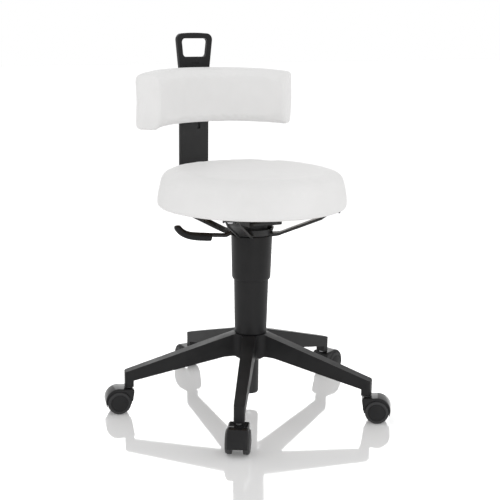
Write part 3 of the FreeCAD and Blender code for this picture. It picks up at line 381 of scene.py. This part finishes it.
def caster_hood():
    """The hood in the caster's own frame: its stem on the Z axis, its wheels out along X."""
    shell = bmesh.new()
    shoulder = 2 * wheel_radius + 0.0045
    back = trail + hood_radius
    corner_outline(shell, [
        (-0.0045, hood_hem, 0), (-0.0095, shoulder - 0.004, 0), (-0.0055, shoulder, 0),
        (0.0145, shoulder, 0), (trail, hood_crown, 0), (back, hood_crown, hood_radius * 0.98),
        (back, 0.0262, 0), (back - 0.0015, hood_hem, 0)], rounding_steps=10)
    side = bmesh.ops.contextual_create(shell, geom=shell.edges[:])["faces"][0]
    bmesh.ops.translate(shell, verts=shell.verts, vec=(0, -hood_half, 0))
    far = bmesh.ops.extrude_face_region(shell, geom=[side], use_keep_orig=True)["geom"]
    bmesh.ops.translate(
        shell, verts=[part for part in far if isinstance(part, bmesh.types.BMVert)],
        vec=(0, 2 * hood_half, 0))
    bmesh.ops.recalc_face_normals(shell, faces=shell.faces)
    rims = [edge for edge in shell.edges
            if abs(edge.verts[0].co.y - edge.verts[1].co.y) < 0.0001
            and edge.verts[0].co.z > hood_hem + 0.001]
    bmesh.ops.bevel(
        shell, geom=rims, offset=hood_rim_rounding, offset_type="OFFSET", segments=5,
        profile=0.5, affect="EDGES", material=-1, clamp_overlap=False)
    return shell


def cut_away(piece, cutter_shell):
    """Cut each closed shape of the cutter out of a piece for good."""
    cutter_mesh = bpy.data.meshes.new("cutter")
    cutter_shell.to_mesh(cutter_mesh)
    cutter_shell.free()
    cutter = bpy.data.objects.new("cutter", cutter_mesh)
    scene.collection.objects.link(cutter)
    cut = piece.modifiers.new("cut", "BOOLEAN")
    cut.object = cutter
    cut.solver = "EXACT"
    cut.use_self = True
    bpy.context.view_layer.update()
    ready = piece.evaluated_get(bpy.context.evaluated_depsgraph_get())
    piece.data = bpy.data.meshes.new_from_object(ready)
    piece.modifiers.clear()
    bpy.data.objects.remove(cutter)
    piece.data.shade_smooth()
    piece.data.set_sharp_from_angle(angle=crease_angle)


def wheel_rooms():
    """The two rooms for the wheels inside the hood, open below and at the sides."""
    shell = bmesh.new()
    for side in (-1, 1):
        room_middle = side * (room_inner_side + room_depth / 2)
        round_room = bmesh.ops.create_cone(
            shell, cap_ends=True, segments=64, radius1=wheel_radius + room_play,
            radius2=wheel_radius + room_play, depth=room_depth)["verts"]
        bmesh.ops.rotate(
            shell, verts=round_room, matrix=Matrix.Rotation(math.radians(90), 3, "X"))
        bmesh.ops.translate(shell, verts=round_room, vec=(trail, room_middle, wheel_radius))
        skirt = bmesh.ops.create_cube(shell, size=1)["verts"]
        bmesh.ops.scale(shell, verts=skirt, vec=(skirt_length, room_depth, room_depth))
        bmesh.ops.translate(
            shell, verts=skirt,
            vec=(skirt_middle, room_middle, wheel_radius + skirt_rise - room_depth / 2))
    return shell


def wheel_part(side, corners):
    """A part of a wheel, turned round the axle from (radius, distance out, rounding) corners."""
    shell = bmesh.new()
    corner_outline(shell, corners, rounding_steps=4)
    spin_outline(shell, wheel_steps)
    bmesh.ops.rotate(
        shell, verts=shell.verts, matrix=Matrix.Rotation(math.radians(-90 * side), 3, "X"))
    bmesh.ops.translate(shell, verts=shell.verts, vec=(trail, 0, wheel_radius))
    return shell


for leg in range(5):
    number = leg + 1
    turned_on_stem = 15 if number == 4 else 0  # the fourth caster stands a little askew
    place = (
        Matrix.Rotation(math.radians(90 + 72 * leg), 4, "Z")
        @ Matrix.Translation((caster_circle, 0, 0))
        @ Matrix.Rotation(math.radians(turned_on_stem), 4, "Z"))
    caster = "caster_%d" % number
    hood = add_piece(caster + "_hood", caster_hood(), hood_finish, caster,
                     [caster + "_housing"])
    cut_away(hood, wheel_rooms())
    hood.data.transform(place)
    for side, hand in ((1, "left"), (-1, "right")):
        tread = wheel_part(side, tread_corners)
        tread.transform(place)
        add_piece("%s_%s_tread" % (caster, hand), tread, tread_finish, caster + "_" + hand)
        disc = wheel_part(side, disc_corners)
        disc.transform(place)
        add_piece("%s_%s_disc" % (caster, hand), disc, moulded_black, caster + "_" + hand,
                  ["%s_wheel_%s" % (caster, hand)])
    dress(caster + "_stem", bare_steel)
    dress(caster + "_axle", bare_steel)

# Seat carrier: a pressed steel cup with four straps welded on, each strap a channel with its lips
# turned down, all powder-coated. Four bolts hold it to the seat board.
carrier_press = add_piece("pressed_carrier", merged_copy("seat_carrier"), powder_coat, "seat",
                          ["seat_carrier"])
round_edges(carrier_press, 0.0007, 2)

bolt_circle = 0.184
bolt_shell = bmesh.new()
head_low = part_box("seat_bolts")[0].z
for quarter in range(4):
    turn = math.radians(45 + 90 * quarter)
    spot = (bolt_circle * math.cos(turn), bolt_circle * math.sin(turn))
    for sides, low_radius, high_radius, length, middle in (
            (32, 0.0078, 0.0078, 0.0009, 0.0031),  # washer
            (6, 0.0052, 0.0055, 0.0028, 0.0013),  # hexagon head
            (24, 0.003, 0.003, 0.0125, 0.0097)):  # shank
        bolt_part = bmesh.ops.create_cone(
            bolt_shell, cap_ends=True, segments=sides, radius1=low_radius,
            radius2=high_radius, depth=length)["verts"]
        bmesh.ops.translate(bolt_shell, verts=bolt_part, vec=(*spot, head_low + middle))
seat_bolts = add_piece("hex_bolts", bolt_shell, bare_steel, "seat", ["seat_bolts"])
round_edges(seat_bolts, 0.0003, 2)

# Mechanism: a die-cast block with the lever's pivot in it, under a folded steel guide with a
# nylon glide plate for the mast. A moulded knob on a steel stud clamps the mast in the guide.
cast_housing = new_finish("die_casting", 0.5, 0.4)
cast_skin = texture(cast_housing, 350, 5)
relief(cast_housing, cast_skin, 0.0002, 0.5)
patchy_gloss(cast_housing, cast_skin, 0.42, 0.6)
tint(cast_housing, cast_skin, (0.014, 0.014, 0.015), (0.024, 0.024, 0.025))
cast_block = add_piece("cast_block", merged_copy("mechanism_housing"), cast_housing, "seat",
                       ["mechanism_housing"])
round_edges(cast_block, 0.0012)
dress("lever_pivot_pin", bare_steel)
folded_guide = add_piece("folded_guide", merged_copy("mast_guide"), powder_coat, "seat",
                         ["mast_guide"])
round_edges(folded_guide, 0.0008)
dress("glide_plate", moulded_black)
knob = add_piece("fluted_knob", merged_copy("clamp_knob"), moulded_black, "knob",
                 ["clamp_knob"])
round_edges(knob, 0.0012)
dress("knob_stud", bare_steel)

# Height lever: a bent rod, powder-coated, pushed into a moulded grip, which is oval, thick where
# the fingers pull and hooked up at its end.
dress("lever_rod", powder_coat)



def smooth_skin(piece, name, levels):
    """Smooth the piece by subdivision."""
    smoothing = piece.modifiers.new(name, "SUBSURF")
    smoothing.levels = levels
    smoothing.render_levels = levels


grip_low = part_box("lever_grip")[0].z
grip_turn = math.radians(170)
grip_shell = bmesh.new()
last_ring = []
for reach, rise, slope, half_height, half_width in (
        (0.0915, 0.0082, 4, 0.0072, 0.0072), (0.0918, 0.0082, 4, 0.0084, 0.0084),
        (0.0935, 0.0084, 4, 0.0089, 0.0088), (0.1040, 0.0096, 6, 0.0090, 0.0090),
        (0.1200, 0.0110, 8, 0.0090, 0.0091), (0.1370, 0.0136, 16, 0.0085, 0.0091),
        (0.1500, 0.0180, 32, 0.0080, 0.0091), (0.1590, 0.0245, 50, 0.0079, 0.0091),
        (0.1640, 0.0305, 68, 0.0078, 0.0090), (0.1656, 0.0345, 80, 0.0074, 0.0086),
        (0.1660, 0.0372, 84, 0.0054, 0.0064)):
    ring = bmesh.ops.create_circle(
        grip_shell, cap_ends=not last_ring, segments=24, radius=1)["verts"]
    bmesh.ops.scale(grip_shell, verts=ring, vec=(half_height, half_width, 1))
    bmesh.ops.rotate(
        grip_shell, verts=ring, matrix=Matrix.Rotation(math.radians(90 - slope), 3, "Y"))
    bmesh.ops.translate(grip_shell, verts=ring, vec=(reach, 0, grip_low + rise))
    ring_edges = list({edge for vertex in ring for edge in vertex.link_edges})
    if last_ring:
        bmesh.ops.bridge_loops(grip_shell, edges=last_ring + ring_edges)
    last_ring = ring_edges
bmesh.ops.contextual_create(grip_shell, geom=last_ring)
bmesh.ops.rotate(grip_shell, verts=grip_shell.verts, matrix=Matrix.Rotation(grip_turn, 3, "Z"))
bmesh.ops.recalc_face_normals(grip_shell, faces=grip_shell.faces)
lever_grip = add_piece("hooked_grip", grip_shell, moulded_black, "lever",
                       ["lever_grip"])
smooth_skin(lever_grip, "smooth_grip", 2)

# Mast: one flat bar of steel, laser-cut, bent up behind the seat and powder-coated. Its foot
# slides in the guide under the seat, and its top carries the backrest.
mast = add_piece("flat_bar_mast", merged_copy("mast_bar"), powder_coat, "mast",
                 ["mast_bar"])
round_edges(mast, 0.0008)

# Seat and backrest boards: a disc of birch plywood under the seat cushion, bolted to the
# carrier, and a bent plywood board in the back of the backrest cushion.
plywood = new_finish("birch_plywood", 0.6, 0.3)
wood_grain = texture(plywood, 30, 6, (1, 9, 40))
relief(plywood, wood_grain, 0.0002, 0.3)
tint(plywood, wood_grain, (0.36, 0.22, 0.11), (0.62, 0.43, 0.25))
patchy_gloss(plywood, wood_grain, 0.5, 0.65)
dress("seat_board", plywood)
dress("backrest_board", plywood)

# Seat cushion: moulded foam under one piece of off-white artificial leather, stretched over the
# rim and stapled under the board.
white_leather = new_finish("white_artificial_leather", 0.6, 0.12)
pebble = texture(white_leather, 620, 4)
pores = texture(white_leather, 2200, 2)
relief(white_leather, pebble, 0.00012, 0.45)
relief(white_leather, pores, 0.00004, 0.4)
leather_cloud = texture(white_leather, 9, 3)
patchy_gloss(white_leather, leather_cloud, 0.58, 0.68)
tint(white_leather, leather_cloud, (0.722, 0.718, 0.713), (0.762, 0.757, 0.754))


settling_frames = 20


def swell(shell, grain, pressure, most, pinned_below=None):
    """Blow the cover up a little over its foam, with no point moved further than most.

    The mesh is made even at the grain's size first. Points under pinned_below stay put.
    """
    raw_mesh = bpy.data.meshes.new("cover")
    shell.to_mesh(raw_mesh)
    shell.free()
    cover = bpy.data.objects.new("cover", raw_mesh)
    scene.collection.objects.link(cover)
    weave = cover.modifiers.new("even_mesh", "REMESH")
    weave.mode = "VOXEL"
    weave.voxel_size = grain
    bpy.context.view_layer.update()
    ready = cover.evaluated_get(bpy.context.evaluated_depsgraph_get())
    cover.data = bpy.data.meshes.new_from_object(ready)
    cover.modifiers.clear()
    even = bmesh.new()
    even.from_mesh(cover.data)
    for _ in range(3):
        bmesh.ops.smooth_vert(
            even, verts=even.verts, factor=0.5, use_axis_x=True, use_axis_y=True, use_axis_z=True)
    even.to_mesh(cover.data)
    even.free()
    rest = [vertex.co.copy() for vertex in cover.data.vertices]
    cloth = cover.modifiers.new("cover_cloth", "CLOTH")
    cloth.settings.quality = 6
    cloth.settings.mass = 0.4
    cloth.settings.tension_stiffness = 25
    cloth.settings.compression_stiffness = 20
    cloth.settings.shear_stiffness = 12
    cloth.settings.bending_stiffness = 1.5
    cloth.settings.use_pressure = True
    cloth.settings.uniform_pressure_force = pressure
    cloth.settings.effector_weights.gravity = 0
    if pinned_below is not None:
        held = cover.vertex_groups.new(name="stapled")
        low_points = [i for i, point in enumerate(rest) if point.z < pinned_below]
        held.add(low_points, 1.0, "REPLACE")
        cloth.settings.vertex_group_mass = "stapled"
    for frame_number in range(1, settling_frames + 1):
        scene.frame_set(frame_number)
    ready = cover.evaluated_get(bpy.context.evaluated_depsgraph_get())
    blown = [vertex.co.copy() for vertex in ready.data.vertices]
    cover.modifiers.clear()
    cover.vertex_groups.clear()
    scene.frame_set(1)
    for vertex, before, after in zip(cover.data.vertices, rest, blown):
        move = after - before
        if move.length > most:
            move *= most / move.length
        vertex.co = before + move
    result = bmesh.new()
    result.from_mesh(cover.data)
    bpy.data.objects.remove(cover)
    return result


cushion_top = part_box("seat_cushion")[1].z
board_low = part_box("seat_board")[0].z
seat_shell = bmesh.new()
corner_outline(seat_shell, [
    (0, cushion_top - 0.0055, 0), (0.120, cushion_top - 0.0045, 0.030),
    (0.172, cushion_top + 0.0010, 0.014), (0.1920, cushion_top - 0.0110, 0.010),
    (0.2012, board_low + 0.0090, 0.007), (0.1992, board_low - 0.0012, 0.003),
    (0.1790, board_low - 0.0014, 0), (0.1790, board_low + 0.0080, 0),
    (0, board_low + 0.0080, 0)], closed=False, rounding_steps=7)
spin_outline(seat_shell, 128)
swollen_seat = swell(
    seat_shell, grain=0.0048, pressure=3, most=0.0016, pinned_below=board_low + 0.003)
seat_cover = add_piece("seat_cushion_cover", swollen_seat, white_leather,
                       "seat", ["seat_cushion"])
smooth_skin(seat_cover, "smooth_cover", 1)

# Backrest carrier: a glass-filled nylon sleeve on the mast with a loop handle at its top, and the
# spacer, spring and screws that hold the backrest's board to it.
dress("backrest_carrier", moulded_black)
dress("detent_spring", bare_steel)
dress("backrest_bracket", moulded_black)
dress("backrest_screws", bare_steel)

# Backrest cushion: foam on a bent board, under the same artificial leather pulled tight round
# it, with flat ends. Screws through the bracket hold its board to the carrier.
pad_centre = Vector((0, -0.052, 0))
pad_inner = 0.233
pad_outer = 0.286
pad_low = 0.5960
pad_high = 0.7168
half_arc = math.radians(43.9)
droop_middle = 0.656
droop_reach = 0.06
upper_corner_droop = 0.0080
lower_corner_droop = 0.0050
pad_shell = bmesh.new()
corner_outline(pad_shell, [
    (pad_inner, pad_low, 0.011), (pad_outer, pad_low, 0.010),
    (pad_outer, pad_high, 0.015), (pad_inner, pad_high, 0.017)], rounding_steps=6)
bmesh.ops.contextual_create(pad_shell, geom=pad_shell.edges[:])
flat_runs = [edge for edge in pad_shell.edges if edge.calc_length() > 0.015]
bmesh.ops.subdivide_edges(pad_shell, edges=flat_runs, cuts=9)
bmesh.ops.rotate(
    pad_shell, verts=pad_shell.verts, matrix=Matrix.Rotation(math.pi / 2 - half_arc, 3, "Z"))
bmesh.ops.spin(
    pad_shell, geom=pad_shell.faces[:], cent=(0, 0, 0), axis=(0, 0, 1), angle=2 * half_arc,
    steps=48, use_merge=False)
bmesh.ops.remove_doubles(pad_shell, verts=pad_shell.verts, dist=0.00001)
bmesh.ops.translate(pad_shell, verts=pad_shell.verts, vec=pad_centre)
bmesh.ops.recalc_face_normals(pad_shell, faces=pad_shell.faces)
for vertex in pad_shell.verts:
    away = vertex.co - pad_centre
    end_share = abs(math.atan2(away.x, away.y)) / half_arc
    height_share = (vertex.co.z - droop_middle) / droop_reach
    vertex.co.z -= end_share ** 3 * (
        upper_corner_droop * max(height_share, 0) + lower_corner_droop * max(-height_share, 0))
swollen_pad = swell(pad_shell, grain=0.0042, pressure=3, most=0.0022)
pad_cover = add_piece("backrest_cushion_cover", swollen_pad, white_leather,
                      "backrest", ["backrest_cushion"])
smooth_skin(pad_cover, "smooth_cover", 1)

bpy.context.view_layer.update()
